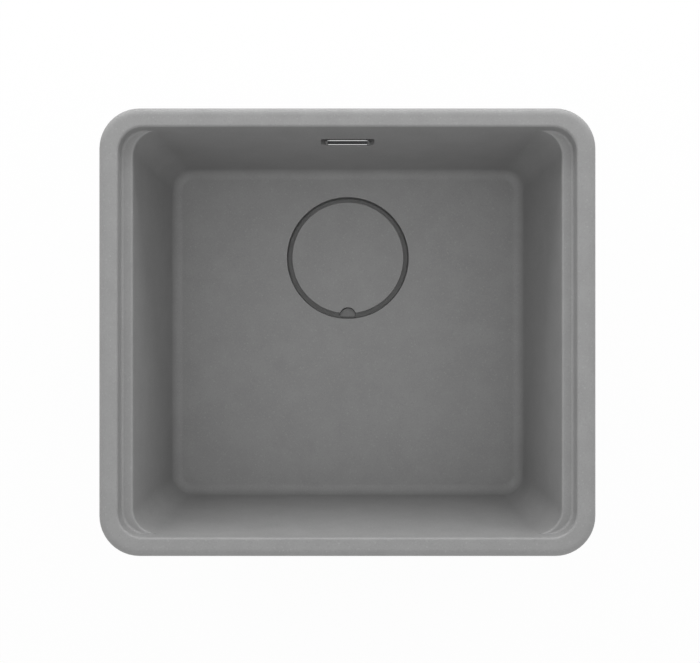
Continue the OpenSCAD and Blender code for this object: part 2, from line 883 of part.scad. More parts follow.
// Least gap of the hose to itself, between points more than a bend apart
hose_steps = [for (i = [0:20]) hose_point(hose_l / 20 * i)];
hose_gap = min([for (i = [0:20], j = [0:20])
    if (abs(i - j) * hose_l / 20 > 4 * hose_r) norm(hose_steps[i] - hose_steps[j]) - 2 * hose_r]);
echo(least_gap_of_the_hose_to_itself = hose_gap);

// A nut that grips a tail over the first part of its length and the hose over the rest
module hose_nut() {
    difference() {
        union() {
            cylinder(h = nut_h, r = nut_r - 0.6);
            for (i = [0:15])
                rotate([0, 0, 22.5 * i])
                    translate([nut_r - 1.2, -1, 1])
                        cube([1.2, 2, nut_h - 2]);
        }
        translate([0, 0, -over])
            cylinder(h = nut_grip + over, r = tail_r + 0.2);
        translate([0, 0, nut_grip - 0.01])
            cylinder(h = nut_h, r = hose_r + 0.2);
    }
}

module upper_hose_nut() {
    color("dimgray")
    translate([0, tail_y, z_tail + nut_grip])
        mirror([0, 0, 1])
            hose_nut();
}

module lower_hose_nut() {
    color("dimgray")
    translate([0, inlet_y - nut_grip, inlet_z])
        rotate([-90, 0, 0])
            hose_nut();
}

module hose_washer() {
    rotate_extrude()
        polygon([[tail_bore_r, 0], [tail_r, 0], [hose_r, 1], [hose_r, hose_washer_t],
            [tail_bore_r, hose_washer_t]]);
}

module upper_hose_washer() {
    color("black")
    translate([0, tail_y, z_tail])
        mirror([0, 0, 1])
            hose_washer();
}

module lower_hose_washer() {
    color("black")
    translate([0, inlet_y, inlet_z])
        rotate([-90, 0, 0])
            hose_washer();
}

// The brackets and what holds them

module bracket_inserts() {
    color("gold")
    at_brackets()
        ring(insert_r, bolt_r + thread_gap, -boss_drop, insert_l);
}

module bracket_bolts() {
    z_head = z_washer - washer_t;
    color("silver")
    at_brackets() {
        translate([0, 0, z_head])
            cylinder(h = insert_l - 1 - z_head - boss_drop, r = bolt_r);
        translate([0, 0, z_head - bolt_head_h])
            cylinder(h = bolt_head_h, r = bolt_head_r, $fn = 6);
    }
}

module bracket_washers() {
    color("silver")
    at_brackets()
        ring(bolt_head_r + 1, bolt_r + thread_gap, z_washer - washer_t, washer_t);
}

// A slotted steel arm, lying back along the wall until it is swung out
module bracket(side, row) {
    slot_r = stud_slot_w / 2;
    slot_far = arm_l + arm_w / 2 - 5 - slot_r;
    slot_near = slot_far - stud_slot_l + stud_slot_w;
    color("lightsteelblue")
    translate([side * bracket_x, row * bracket_gap, z_bracket - arm_t])
        difference() {
            union() {
                cylinder(h = arm_t, r = arm_w / 2);
                translate([0, arm_l, 0])
                    cylinder(h = arm_t, r = arm_w / 2);
                translate([-arm_w / 2, 0, 0])
                    cube([arm_w, arm_l, arm_t]);
                translate([side > 0 ? -arm_w / 2 : arm_w / 2 - lip_t, 12, -lip_h])
                    cube([lip_t, arm_l - 12, lip_h + over]);
            }
            translate([0, 0, -over])
                cylinder(h = arm_t + 2 * over, r = bolt_r + pin_gap);
            translate([-slot_r, slot_near, -over])
                cube([2 * slot_r, slot_far - slot_near, arm_t + 2 * over]);
            for (y = [slot_near, slot_far])
                translate([0, y, -over])
                    cylinder(h = arm_t + 2 * over, r = slot_r);
        }
}

module bracket_right_front() bracket(1, -1);
module bracket_right_mid() bracket(1, 0);
module bracket_right_back() bracket(1, 1);
module bracket_left_front() bracket(-1, -1);
module bracket_left_mid() bracket(-1, 0);
module bracket_left_back() bracket(-1, 1);

bowl();
drain_cover();
cover_feet();
strainer_flange();
flange_seal();
strainer_basket();
basket_seal();
basket_knob();
knob_clip();
centre_screw();
waste_insert();
waste_gasket();
waste_body();
waste_cross();
waste_tail();
overflow_frame();
overflow_gasket();
overflow_elbow();
overflow_screws();
overflow_hose();
upper_hose_nut();
lower_hose_nut();
upper_hose_washer();
lower_hose_washer();
bracket_inserts();
bracket_bolts();
bracket_washers();
bracket_right_front();
bracket_right_mid();
bracket_right_back();
bracket_left_front();
bracket_left_mid();
bracket_left_back();
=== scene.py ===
"""Looks of the kitchen sink: composite bowl and cover, chrome overflow, waste and fixings."""
import json
import math

import bmesh
import bpy
from mathutils import Matrix, Vector

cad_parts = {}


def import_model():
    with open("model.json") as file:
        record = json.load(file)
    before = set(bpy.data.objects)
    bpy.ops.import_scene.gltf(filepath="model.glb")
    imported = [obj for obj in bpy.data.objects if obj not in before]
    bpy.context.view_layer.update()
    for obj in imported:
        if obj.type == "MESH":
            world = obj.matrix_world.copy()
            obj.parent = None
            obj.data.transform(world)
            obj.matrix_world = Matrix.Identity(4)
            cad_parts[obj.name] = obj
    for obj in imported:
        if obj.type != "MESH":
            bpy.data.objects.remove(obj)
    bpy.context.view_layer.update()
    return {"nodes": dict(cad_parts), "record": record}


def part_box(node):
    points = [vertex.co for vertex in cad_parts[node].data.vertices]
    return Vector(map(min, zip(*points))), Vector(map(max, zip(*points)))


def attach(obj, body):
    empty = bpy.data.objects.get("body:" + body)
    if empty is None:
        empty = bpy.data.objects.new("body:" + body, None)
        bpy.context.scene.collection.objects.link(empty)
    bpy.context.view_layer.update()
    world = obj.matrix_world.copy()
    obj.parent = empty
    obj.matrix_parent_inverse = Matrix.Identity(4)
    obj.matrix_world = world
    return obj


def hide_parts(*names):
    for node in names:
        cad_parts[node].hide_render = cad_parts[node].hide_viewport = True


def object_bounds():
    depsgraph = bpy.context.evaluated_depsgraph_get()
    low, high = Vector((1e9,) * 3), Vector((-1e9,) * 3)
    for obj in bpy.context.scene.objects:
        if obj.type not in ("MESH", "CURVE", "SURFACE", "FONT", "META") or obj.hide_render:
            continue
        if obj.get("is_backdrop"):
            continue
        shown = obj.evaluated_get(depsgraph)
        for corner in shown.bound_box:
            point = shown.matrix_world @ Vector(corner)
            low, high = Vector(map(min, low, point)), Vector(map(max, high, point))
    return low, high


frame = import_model()
MM = 0.001

# Driving sizes of the bowl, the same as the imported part's
BOWL_LOW, BOWL_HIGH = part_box("bowl")
RIM_HX, RIM_HY = BOWL_HIGH.x, BOWL_HIGH.y
RIM_FACE = 19 * MM
RIM_T = 10 * MM
RIM_CORNER_R = 40 * MM
RIM_ROUND_W, RIM_ROUND_H = 8 * MM, 5 * MM
RIM_UNDER_ROUND = 2 * MM
DEPTH = 200 * MM
WALL_T = 8 * MM
FLOOR_T = 9 * MM
LEAN = math.tan(math.radians(3))
END_LEAN = math.tan(math.radians(3.7))
OPEN_CORNER_R = 25 * MM
OPEN_ROUND = 2.5 * MM
FLOOR_FILLET = 12 * MM
SHELF_DROP = 15 * MM
SHELF_W = 12 * MM
LOW_CORNER_R = 25 * MM
SHELF_FOOT = 2.5 * MM
SHELF_EDGE = 2 * MM
DRAIN = Vector((0, 87.5 * MM))
RECESS_R = 71.7 * MM
RECESS_DEPTH = 16 * MM
RECESS_WALL = 9 * MM
RECESS_ROUND = 0.6 * MM
SEAT_R = 57 * MM
SEAT_DEPTH = 3 * MM
DRAIN_HOLE_R = 45 * MM
LUG_R = 9 * MM
LUG_DROP = 12.5 * MM
LUG_REACH = 69.5 * MM

# The cover over the drain, with its notch in front
COVER_R, COVER_T = 65.5 * MM, 8 * MM
COVER_ROUND = 0.6 * MM
NOTCH_R, NOTCH_OUT = 9.5 * MM, 67.8 * MM
NOTCH_CORNER_R = 1.5 * MM
COVER_RIBS = ((16 * MM, 13.5 * MM), (47 * MM, 44.5 * MM))
RIB_T, RIB_H = 2.5 * MM, 2.5 * MM
POST_R, FOOT_R = 3.2 * MM, 3.8 * MM
DIAGONALS = [math.radians(a) for a in (45, 135, 225, 315)]

# The overflow in the back wall, and the bosses under the rim
OVERFLOW_Z = -67.5 * MM
POCKET_W, POCKET_TOP, POCKET_FOOT, POCKET_DEPTH = 56 * MM, 18 * MM, 14 * MM, 5 * MM
POCKET_TOP_R, POCKET_FOOT_R = 2.5 * MM, 13 * MM
FRAME = (46.5 * MM, 20.5 * MM)
FRAME_TOP_R, FRAME_FOOT_R = 5.5 * MM, 2 * MM
FRAME_LIP, FRAME_PLATE, FRAME_WALL = 0.8 * MM, 1.6 * MM, 0.7 * MM
SLOT = (42 * MM, 14.5 * MM)
SLOT_LIFT, SLOT_R = 0.5 * MM, 1 * MM
SLEEVE, SLEEVE_SHORT = (44.7 * MM, 18.2 * MM), 0.3 * MM
SLEEVE_TOP_R, SLEEVE_FOOT_R, SLEEVE_WALL = 4.6 * MM, 2 * MM, 0.4 * MM
PAD_SIZE, PAD_T = (90 * MM, 46 * MM), 4 * MM
PAD_CORNER_R = 10 * MM
WINDOW, WINDOW_R = (44.9 * MM, 18.4 * MM), 0.5 * MM
PAD_HOLE = (36 * MM, 2.05 * MM, 7.5 * MM)
BOSS_X, BOSS_GAP = 236 * MM, 120 * MM
BOSS_R, BOSS_DROP, BOSS_BEVEL = 8 * MM, 30 * MM, 1 * MM
INSERT_R, INSERT_L = 4.25 * MM, 12 * MM

# The hose from the overflow, and the waste's outlet
HOSE_R, HOSE_BORE_R, HOSE_BEND_R = 10 * MM, 7.5 * MM, 55 * MM
HOSE_RIB_PITCH, HOSE_RIB_DEPTH = 4 * MM, 1.5 * MM
HOSE_SIDES, RIB_STEPS = 32, 8
OUTLET_WALL = 3 * MM
THREAD_PITCH, THREAD_DEPTH = 2.309 * MM, 1.1 * MM
THREAD_SIDES, THREAD_STEPS = 72, 8

# Sizes that follow from them
OPEN_HX, OPEN_HY = RIM_HX - RIM_FACE, RIM_HY - RIM_FACE
LOW_HX, LOW_HY = OPEN_HX - SHELF_W, OPEN_HY - SHELF_DROP * END_LEAN
Z_SHELF, Z_FLOOR = -SHELF_DROP, -DEPTH
Z_UNDER = Z_FLOOR - FLOOR_T
Z_RECESS = Z_FLOOR - RECESS_DEPTH
Z_BOSS = Z_RECESS - RECESS_WALL
WALL_Y = OPEN_HY + OVERFLOW_Z * END_LEAN
POCKET_Y = OPEN_HY + OVERFLOW_Z * LEAN + POCKET_DEPTH
PAD_Y = OPEN_HY + OVERFLOW_Z * LEAN + WALL_T + PAD_T

# Segments round the outline and across the roundings
CORNER_STEPS = 12
CIRCLE_STEP = math.radians(3)
ROUND_STEPS = 6
FILLET_STEPS = 10

# Width from which a step has its full form, least width that counts, the heights of the rings down
# a wall, the edge that stays sharp in degrees, and how far a joined solid reaches into another
STEP_FULL = 1.5 * MM
TINY = 1e-7
WALL_RINGS = (-60 * MM, -110 * MM, -150 * MM)
SHARP = 35
BITE = 1 * MM

# The photograph: 700 pixels wide, taken straight down from above the image's middle
PHOTO_W = 700
PHOTO_MID = (350.0, 331.5)
RIM_MID = (347.4, 332.2)
PX_PER_MM_AT_RIM = 1.0127
CAMERA_HEIGHT = 1030 * MM
SENSOR = 36.0

# The floor: half its side and its gap below the object, in metres, and how much of it is plain
# white where it is seen; the rest keeps the shadow
FLOOR_REACH, FLOOR_GAP, FLOOR_SHARE = 6.0, 1 * MM, 0.955
SKY_STRENGTH = 0.66


def srgb(value):
    """Linear value of an sRGB grey from 0 to 255."""
    c = value / 255
    return c / 12.92 if c <= 0.04045 else ((c + 0.055) / 1.055) ** 2.4


def grey(value):
    return (srgb(value), srgb(value), srgb(value), 1.0)


def rgb(r, g, b):
    return (srgb(r), srgb(g), srgb(b), 1.0)


# Materials


def new_material(name):
    material = bpy.data.materials.new(name)
    material.use_nodes = True
    nodes = material.node_tree.nodes
    return material, nodes, material.node_tree.links, nodes["Principled BSDF"]


def noise(nodes, links, coords, scale, detail=2.0, roughness=0.5):
    node = nodes.new("ShaderNodeTexNoise")
    node.inputs["Scale"].default_value = scale
    node.inputs["Detail"].default_value = detail
    node.inputs["Roughness"].default_value = roughness
    links.new(coords, node.inputs["Vector"])
    return node


def ramp(nodes, links, fac, stops):
    node = nodes.new("ShaderNodeValToRGB")
    links.new(fac, node.inputs["Fac"])
    elements = node.color_ramp.elements
    while len(elements) < len(stops):
        elements.new(0.5)
    for element, (place, colour) in zip(elements, stops):
        element.position = place
        element.color = colour
    return node.outputs["Color"]


def mix(nodes, links, fac, a, b, blend="MIX"):
    node = nodes.new("ShaderNodeMix")
    node.data_type = "RGBA"
    node.blend_type = blend
    for socket, value in (("Factor", fac), (6, a), (7, b)):
        target = node.inputs[0] if socket == "Factor" else node.inputs[socket]
        if hasattr(value, "is_linked"):
            links.new(value, target)
        else:
            target.default_value = value
    return node.outputs[2]


def bump(nodes, links, height, strength, distance):
    node = nodes.new("ShaderNodeBump")
    node.inputs["Strength"].default_value = strength
    node.inputs["Distance"].default_value = distance
    links.new(height, node.inputs["Height"])
    return node.outputs["Normal"]


def composite(name, tone, lift):
    """Stone-filled resin: a grey ground with lighter and darker grains, matt and faintly rough."""
    material, nodes, links, shader = new_material(name)
    coords = nodes.new("ShaderNodeTexCoord").outputs["Object"]
    cloud = noise(nodes, links, coords, 38, 3.0, 0.55)
    ground = ramp(nodes, links, cloud.outputs["Fac"],
                  [(0.3, grey(tone - 3)), (0.7, grey(tone + 3))])
    grains = nodes.new("ShaderNodeTexVoronoi")
    grains.inputs["Scale"].default_value = 950
    links.new(coords, grains.inputs["Vector"])
    split = nodes.new("ShaderNodeSeparateColor")
    links.new(grains.outputs["Color"], split.inputs["Color"])
    light = ramp(nodes, links, split.outputs["Red"],
                 [(0.86, grey(0)), (0.9, grey(150)), (1.0, grey(230))])
    dark = ramp(nodes, links, split.outputs["Green"],
                [(0.82, grey(0)), (0.86, grey(140)), (1.0, grey(200))])
    colour = mix(nodes, links, light, ground, grey(tone + lift))
    colour = mix(nodes, links, dark, colour, grey(tone - lift))
    flecks = nodes.new("ShaderNodeTexVoronoi")
    flecks.inputs["Scale"].default_value = 330
    links.new(coords, flecks.inputs["Vector"])
    fleck_split = nodes.new("ShaderNodeSeparateColor")
    links.new(flecks.outputs["Color"], fleck_split.inputs["Color"])
    fleck = ramp(nodes, links, fleck_split.outputs["Blue"],
                 [(0.955, grey(0)), (0.965, grey(170)), (1.0, grey(200))])
    near = ramp(nodes, links, flecks.outputs["Distance"],
                [(0.15, grey(255)), (0.34, grey(0))])
    spot = mix(nodes, links, 1.0, fleck, near, "MULTIPLY")
    colour = mix(nodes, links, spot, colour, grey(tone + 2.2 * lift))
    links.new(colour, shader.inputs["Base Color"])
    fine = noise(nodes, links, coords, 1500, 2.0, 0.6)
    gloss = ramp(nodes, links, fine.outputs["Fac"],
                 [(0.3, grey(170)), (0.7, grey(200))])
    links.new(gloss, shader.inputs["Roughness"])
    links.new(bump(nodes, links, fine.outputs["Fac"], 0.35, 0.00025), shader.inputs["Normal"])
    shader.inputs["Specular IOR Level"].default_value = 0.4
    return material


def brushed(name, colour, roughness, stretch):
    """Metal with fine lines; stretch squeezes the noise along each axis."""
    material, nodes, links, shader = new_material(name)
    coords = nodes.new("ShaderNodeTexCoord").outputs["Object"]
    mapping = nodes.new("ShaderNodeMapping")
    mapping.inputs["Scale"].default_value = stretch
    links.new(coords, mapping.inputs["Vector"])
    lines = noise(nodes, links, mapping.outputs["Vector"], 900, 3.0, 0.6)
    low = tuple(c * 0.82 for c in colour[:3]) + (1.0,)
    links.new(ramp(nodes, links, lines.outputs["Fac"], [(0.35, low), (0.65, colour)]),
              shader.inputs["Base Color"])
    links.new(ramp(nodes, links, lines.outputs["Fac"],
                   [(0.3, (roughness * 0.8,) * 3 + (1,)), (0.7, (roughness * 1.3,) * 3 + (1,))]),
              shader.inputs["Roughness"])
    links.new(bump(nodes, links, lines.outputs["Fac"], 0.12, 0.0001), shader.inputs["Normal"])
    shader.inputs["Metallic"].default_value = 1.0
    return material


def plated(name, colour, roughness):
    """Polished or plated metal, with faint smears in its gloss."""
    material, nodes, links, shader = new_material(name)
    coords = nodes.new("ShaderNodeTexCoord").outputs["Object"]
    smear = noise(nodes, links, coords, 120, 4.0, 0.6)
    low = tuple(c * 0.94 for c in colour[:3]) + (1.0,)
    links.new(ramp(nodes, links, smear.outputs["Fac"], [(0.35, low), (0.7, colour)]),
              shader.inputs["Base Color"])
    links.new(ramp(nodes, links, smear.outputs["Fac"],
                   [(0.35, (roughness,) * 3 + (1,)), (0.75, (roughness * 1.8,) * 3 + (1,))]),
              shader.inputs["Roughness"])
    shader.inputs["Metallic"].default_value = 1.0
    return material


def moulded(name, colour, roughness, grain):
    """Moulded plastic or rubber: slightly mottled, with a fine skin."""
    material, nodes, links, shader = new_material(name)
    coords = nodes.new("ShaderNodeTexCoord").outputs["Object"]
    mottle = noise(nodes, links, coords, 60, 3.0, 0.5)
    low = tuple(c * 0.9 for c in colour[:3]) + (1.0,)
    links.new(ramp(nodes, links, mottle.outputs["Fac"], [(0.3, low), (0.7, colour)]),
              shader.inputs["Base Color"])
    skin = noise(nodes, links, coords, grain, 2.0, 0.5)
    links.new(ramp(nodes, links, skin.outputs["Fac"],
                   [(0.3, (roughness * 0.85,) * 3 + (1,)), (0.7, (roughness * 1.15,) * 3 + (1,))]),
              shader.inputs["Roughness"])
    links.new(bump(nodes, links, skin.outputs["Fac"], 0.15, 0.0002), shader.inputs["Normal"])
    return material


BOWL_TONE = 152
MATERIALS = {
    "composite": composite("composite", BOWL_TONE, 9),
    "cover_composite": composite("cover_composite", BOWL_TONE, 9),
    "chrome": plated("chrome", grey(205), 0.06),
    "stainless": brushed("stainless", grey(205), 0.28, (1, 1, 0.15)),
    "zinc": brushed("zinc", rgb(196, 200, 206), 0.34, (0.3, 1, 1)),
    "brass": brushed("brass", rgb(214, 178, 96), 0.25, (1, 1, 0.2)),
    "rubber": moulded("rubber", grey(38), 0.6, 900),
    "pipe_plastic": moulded("pipe_plastic", rgb(112, 114, 116), 0.42, 700),
    "hose_plastic": moulded("hose_plastic", rgb(205, 206, 204), 0.45, 700),
}


# Meshes


def finish_piece(name, bm, material, body, replaced, smooth_angle=SHARP):
    """Turns a bmesh into a smooth-shaded piece that stands for CAD nodes and rides on a body."""
    bmesh.ops.recalc_face_normals(bm, faces=bm.faces)
    mesh = bpy.data.meshes.new(name)
    bm.to_mesh(mesh)
    bm.free()
    piece = bpy.data.objects.new(name, mesh)
    bpy.context.collection.objects.link(piece)
    shade(piece, smooth_angle)
    piece.data.materials.append(MATERIALS[material])
    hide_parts(*replaced)
    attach(piece, body)
    return piece


def shade(piece, angle):
    """Smooth shading with edges sharper than the angle kept, in the mesh itself."""
    mesh = piece.data
    for polygon in mesh.polygons:
        polygon.use_smooth = True
    mesh.set_sharp_from_angle(angle=math.radians(angle))


def arc(centre, radius, start, end, steps):
    """Points along an arc in a plane, from one angle to another in degrees."""
    points = []
    for i in range(steps + 1):
        a = math.radians(start + (end - start) * i / steps)
        points.append((centre[0] + radius * math.cos(a), centre[1] + radius * math.sin(a)))
    return points


class Outline:
    """A rectangle with round corners, walked round in matching steps whatever its size."""

    def __init__(self, hx, hy, r):
        self.cx, self.cy, self.r = hx - r, hy - r, r

    def corner(self, q, angle):
        x = self.cx if q in (0, 3) else -self.cx
        y = self.cy if q < 2 else -self.cy
        return Vector((x + self.r * math.cos(angle), y + self.r * math.sin(angle)))

    def walk(self):
        """Points and outward directions: round each corner, then along the next side."""
        points, dirs = [], []
        for q in range(4):
            for i in range(CORNER_STEPS + 1):
                a = math.radians(90) * (q + i / CORNER_STEPS)
                points.append(self.corner(q, a))
                dirs.append(Vector((math.cos(a), math.sin(a))))
            a = math.radians(90) * (q + 1)
            start, end = self.corner(q, a), self.corner((q + 1) % 4, a)
            for f in SIDE_STEPS[q]:
                points.append(start.lerp(end, f))
                dirs.append(Vector((math.cos(a), math.sin(a))))
        return points, dirs


def side_steps():
    """For each side, where to stop along it so that the stops look evenly spaced from the drain."""
    hx, hy = LOW_HX - DEPTH * LEAN - FLOOR_FILLET, LOW_HY - DEPTH * END_LEAN - FLOOR_FILLET
    cx, cy = hx - 12 * MM, hy - 12 * MM
    ends = [(Vector((cx, hy)), Vector((-cx, hy))), (Vector((-hx, cy)), Vector((-hx, -cy))),
            (Vector((-cx, -hy)), Vector((cx, -hy))), (Vector((hx, -cy)), Vector((hx, cy)))]
    steps = []
    for start, end in ends:
        along = (end - start).normalized()
        across = Vector((along.y, -along.x))
        gap = (start - DRAIN).dot(across)
        lo = math.atan2((start - DRAIN).dot(along), gap)
        hi = math.atan2((end - DRAIN).dot(along), gap)
        count = round((hi - lo) / CIRCLE_STEP)
        places = [gap * math.tan(lo + (hi - lo) * i / count) for i in range(1, count)]
        first, length = (start - DRAIN).dot(along), (end - start).length
        steps.append([(p - first) / length for p in places])
    return steps


SIDE_STEPS = side_steps()


def low_outline(z, out=0.0):
    """The bowl below the shelves at height z, moved out; its corners keep their radius."""
    fall = z - Z_SHELF
    return Outline(LOW_HX + fall * LEAN + out, LOW_HY + fall * END_LEAN + out,
                   LOW_CORNER_R + out)


def lean_along(d):
    """How far the wall that faces along d moves out for each step up."""
    return LEAN * abs(d.x) + END_LEAN * abs(d.y)


def offset_ring(outline, profile_point):
    """The outline moved out by n, at height z."""
    points, dirs = outline.walk()
    n, z = profile_point
    return [(p.x + d.x * n, p.y + d.y * n, z) for p, d in zip(points, dirs)]


def fillet_rings(outline, z, radius):
    """Rings of the rounding from the leaning wall on to a floor at height z, downwards."""
    points, dirs = outline.walk()
    rings = []
    for i in range(FILLET_STEPS + 1):
        ring = []
        for p, d in zip(points, dirs):
            tan = lean_along(d)
            lean = math.atan(tan)
            a = -lean - (math.pi / 2 - lean) * i / FILLET_STEPS
            n = radius * (tan - 1 / math.cos(lean) + math.cos(a))
            ring.append((p.x + d.x * n, p.y + d.y * n, z + radius * (1 + math.sin(a))))
        rings.append(ring)
    return rings


def circle_ring(r, z):
    """A ring round the drain whose points match the outline's by their direction from the drain."""
    points, _ = low_outline(Z_FLOOR).walk()
    ring = []
    for p in points:
        d = (p - DRAIN).normalized()
        ring.append((DRAIN.x + d.x * r, DRAIN.y + d.y * r, z))
    return ring


def step_fade(width):
    """How much of a step is left where it is only so wide, from 0 to 1, eased at both ends."""
    t = min(1.0, width / STEP_FULL)
    return t * t * (3 - 2 * t)


def step_rings(upper, lower, z, foot, edge):
    """Rings down the step between an upper and a lower outline, which fades where they meet.

    The step has a hollow foot under the upper wall and a rounded edge over the lower one.
    """
    up, dirs = upper.walk()
    low, _ = lower.walk()
    rings = [[] for _ in range(2 * ROUND_STEPS + 2)]
    for u, l, d in zip(up, low, dirs):
        width = max(0.0, (u - l).dot(d))
        k = min(1.0, width / (foot + edge))
        rf, re = foot * k, edge * k
        path = arc((width - rf, z + rf), rf, 0, -90, ROUND_STEPS)
        path += arc((re, z - re), re, 90, 180, ROUND_STEPS)
        fade = step_fade(width)
        for i, (n, h) in enumerate(path):
            even = z + foot - (foot + edge) * i / (len(path) - 1)
            h = even + (h - even) * fade
            share = n / width if width > TINY else 1 - i / (len(path) - 1)
            p = l + (u - l) * share + d * (h - z) * lean_along(d)
            rings[i].append((p.x, p.y, h))
    return rings


def bowl_rings():
    """Every ring of the bowl's skin, from the rim's inner edge down inside, then up outside."""
    inner = Outline(OPEN_HX, OPEN_HY, OPEN_CORNER_R)
    at_shelf = Outline(OPEN_HX - SHELF_DROP * LEAN, OPEN_HY - SHELF_DROP * END_LEAN,
                       OPEN_CORNER_R - SHELF_DROP * LEAN)
    low = low_outline(Z_SHELF)
    rings = [offset_ring(inner, p)
             for p in arc((OPEN_ROUND * (1 - LEAN), -OPEN_ROUND), OPEN_ROUND, 90, 180, ROUND_STEPS)]
    rings += step_rings(at_shelf, low, Z_SHELF, SHELF_FOOT, SHELF_EDGE)
    for z in WALL_RINGS:
        rings.append(offset_ring(low_outline(z), (0, z)))
    rings += fillet_rings(low_outline(Z_FLOOR), Z_FLOOR, FLOOR_FILLET)
    edge = arc((RECESS_R + RECESS_ROUND, Z_FLOOR - RECESS_ROUND), RECESS_ROUND, 90, 180,
               ROUND_STEPS)
    rings += [circle_ring(r, z) for r, z in edge]
    hollow = arc((RECESS_R - 1.5 * MM, Z_RECESS + 1.5 * MM), 1.5 * MM, 0, -90, ROUND_STEPS)
    z_seat = Z_RECESS - SEAT_DEPTH
    path = hollow + [(SEAT_R + 0.4 * MM, Z_RECESS), (SEAT_R, Z_RECESS - 0.4 * MM),
                     (SEAT_R, z_seat), (DRAIN_HOLE_R + 0.3 * MM, z_seat),
                     (DRAIN_HOLE_R, z_seat - 0.3 * MM), (DRAIN_HOLE_R, Z_BOSS + 0.5 * MM),
                     (DRAIN_HOLE_R + 0.5 * MM, Z_BOSS)]
    boss_r = RECESS_R + RECESS_WALL
    path += arc((boss_r - 2 * MM, Z_BOSS + 2 * MM), 2 * MM, -90, 0, ROUND_STEPS)
    path += arc((boss_r + 2 * MM, Z_UNDER - 2 * MM), 2 * MM, 180, 90, ROUND_STEPS)
    rings += [circle_ring(r, z) for r, z in path]
    outer_up = Outline(OPEN_HX + WALL_T, OPEN_HY + WALL_T, OPEN_CORNER_R + WALL_T)
    z_step = Z_SHELF - WALL_T
    rings += fillet_rings(low_outline(Z_UNDER, WALL_T), Z_UNDER, FLOOR_FILLET + WALL_T)[::-1]
    for z in WALL_RINGS[::-1]:
        rings.append(offset_ring(low_outline(z, WALL_T), (0, z)))
    up_there = Outline(OPEN_HX + WALL_T + z_step * LEAN, OPEN_HY + WALL_T + z_step * END_LEAN,
                       OPEN_CORNER_R + WALL_T + z_step * LEAN)
    rings += outer_step(up_there, low_outline(z_step, WALL_T), z_step, 2.5 * MM, 1.5 * MM)
    hollow = arc((2 * MM - RIM_T * LEAN, -RIM_T - 2 * MM), 2 * MM, 180, 90, ROUND_STEPS)
    rings += [offset_ring(outer_up, p) for p in hollow]
    rim = Outline(RIM_HX, RIM_HY, RIM_CORNER_R)
    rings += [offset_ring(rim, p)
              for p in arc((-RIM_UNDER_ROUND, RIM_UNDER_ROUND - RIM_T), RIM_UNDER_ROUND,
                           -90, 0, ROUND_STEPS)]
    rings += [offset_ring(rim, ((n - 1) * RIM_ROUND_W, (z - 1) * RIM_ROUND_H))
              for n, z in arc((0, 0), 1, 0, 90, FILLET_STEPS)]
    return rings


def outer_step(upper, lower, z, edge, hollow):
    """The outside of the shelf, walked upwards: a hollow over the wall, then a rounded edge."""
    up, dirs = upper.walk()
    low, _ = lower.walk()
    rings = [[] for _ in range(2 * ROUND_STEPS + 2)]
    for u, l, d in zip(up, low, dirs):
        width = max(0.0, (u - l).dot(d))
        k = min(1.0, width / (hollow + edge))
        rh, re = hollow * k, edge * k
        path = arc((rh, z - rh), rh, 180, 90, ROUND_STEPS)
        path += arc((width - re, z + re), re, -90, 0, ROUND_STEPS)
        fade = step_fade(width)
        for i, (n, h) in enumerate(path):
            even = z - hollow + (hollow + edge) * i / (len(path) - 1)
            h = even + (h - even) * fade
            share = n / width if width > TINY else i / (len(path) - 1)
            p = l + (u - l) * share + d * (h - z) * lean_along(d)
            rings[i].append((p.x, p.y, h))
    return rings


def turned(bm, profile, x, y, steps=48):
    """Turns a profile of (r, z) points, closed or ending on the axis, round a vertical axis."""
    made = []
    for r, z in profile:
        if r < 1e-9:
            made.append([bm.verts.new((x, y, z))] * steps)
        else:
            made.append([bm.verts.new((x + r * math.cos(math.tau * i / steps),
                                       y + r * math.sin(math.tau * i / steps), z))
                         for i in range(steps)])
    pairs = list(zip(made, made[1:]))
    if profile[0][0] > 1e-9:
        pairs.append((made[-1], made[0]))
    for a, b in pairs:
        for i in range(steps):
            j = (i + 1) % steps
            corners = []
            for v in (a[i], a[j], b[j], b[i]):
                if v not in corners:
                    corners.append(v)
            if len(corners) > 2:
                bm.faces.new(corners)


def upright_block(bm, outline, near, far):
    """A block whose outline is drawn on the back wall, from one depth to another."""
    front = [bm.verts.new((x, near, OVERFLOW_Z + z)) for x, z in outline]
    back = [bm.verts.new((x, far, OVERFLOW_Z + z)) for x, z in outline]
    bm.faces.new(front)
    bm.faces.new(back)
    for i in range(len(outline)):
        j = (i + 1) % len(outline)
        bm.faces.new((front[i], front[j], back[j], back[i]))


def stack(bm, rings):
    """A solid from rings one above another, closed with a flat face at each end."""
    made = [[bm.verts.new(co) for co in ring] for ring in rings]
    count = len(made[0])
    for a, b in zip(made, made[1:]):
        for i in range(count):
            j = (i + 1) % count
            bm.faces.new((a[i], a[j], b[j], b[i]))
    bm.faces.new(made[0])
    bm.faces.new(made[-1])


def round_rect(w, h, r, steps=8):
    hw, hh = w / 2 - r, h / 2 - r
    return (arc((hw, hh), r, 0, 90, steps) + arc((-hw, hh), r, 90, 180, steps)
            + arc((-hw, -hh), r, 180, 270, steps) + arc((hw, -hh), r, 270, 360, steps))


